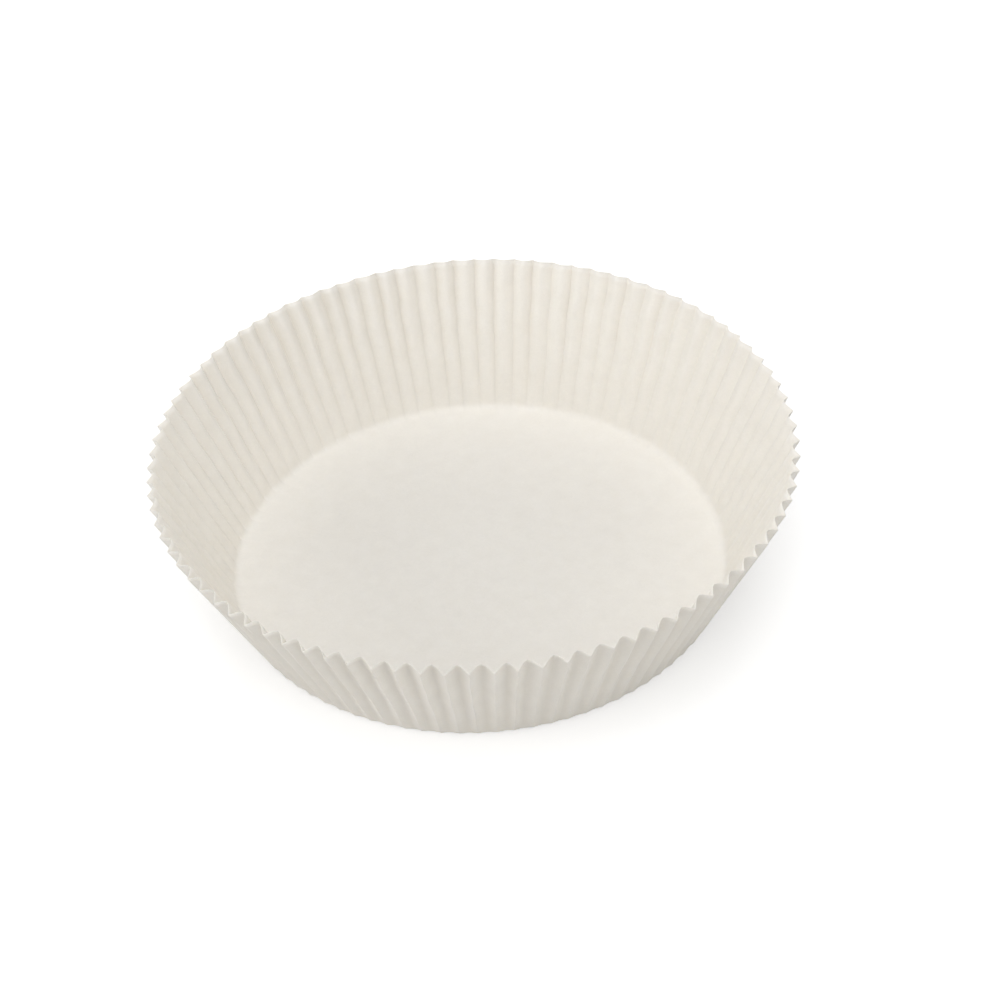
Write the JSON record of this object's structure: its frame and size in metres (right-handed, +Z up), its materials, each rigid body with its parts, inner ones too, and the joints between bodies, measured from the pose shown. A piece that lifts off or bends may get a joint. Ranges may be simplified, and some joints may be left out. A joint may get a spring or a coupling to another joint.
{
  "type": "cake pan liner",
  "caption": "Round greaseproof-paper liner for a cake pan: a flat base and a flared wall gathered into fine upright flutes.",
  "frame": {"origin": "centre of the base's underside, on the surface that the liner stands on", "axes": "+Z up along the cup's axis, from the base to the open rim; +X through the outer fold of a flute"},
  "size_m": [0.1999, 0.2, 0.0475],
  "materials": {
    "greaseproof_paper": "smooth matt greaseproof paper, warm white, slightly translucent"
  },
  "bodies": {
    "root": {"liner": "greaseproof_paper"}
  },
  "joints": []
}
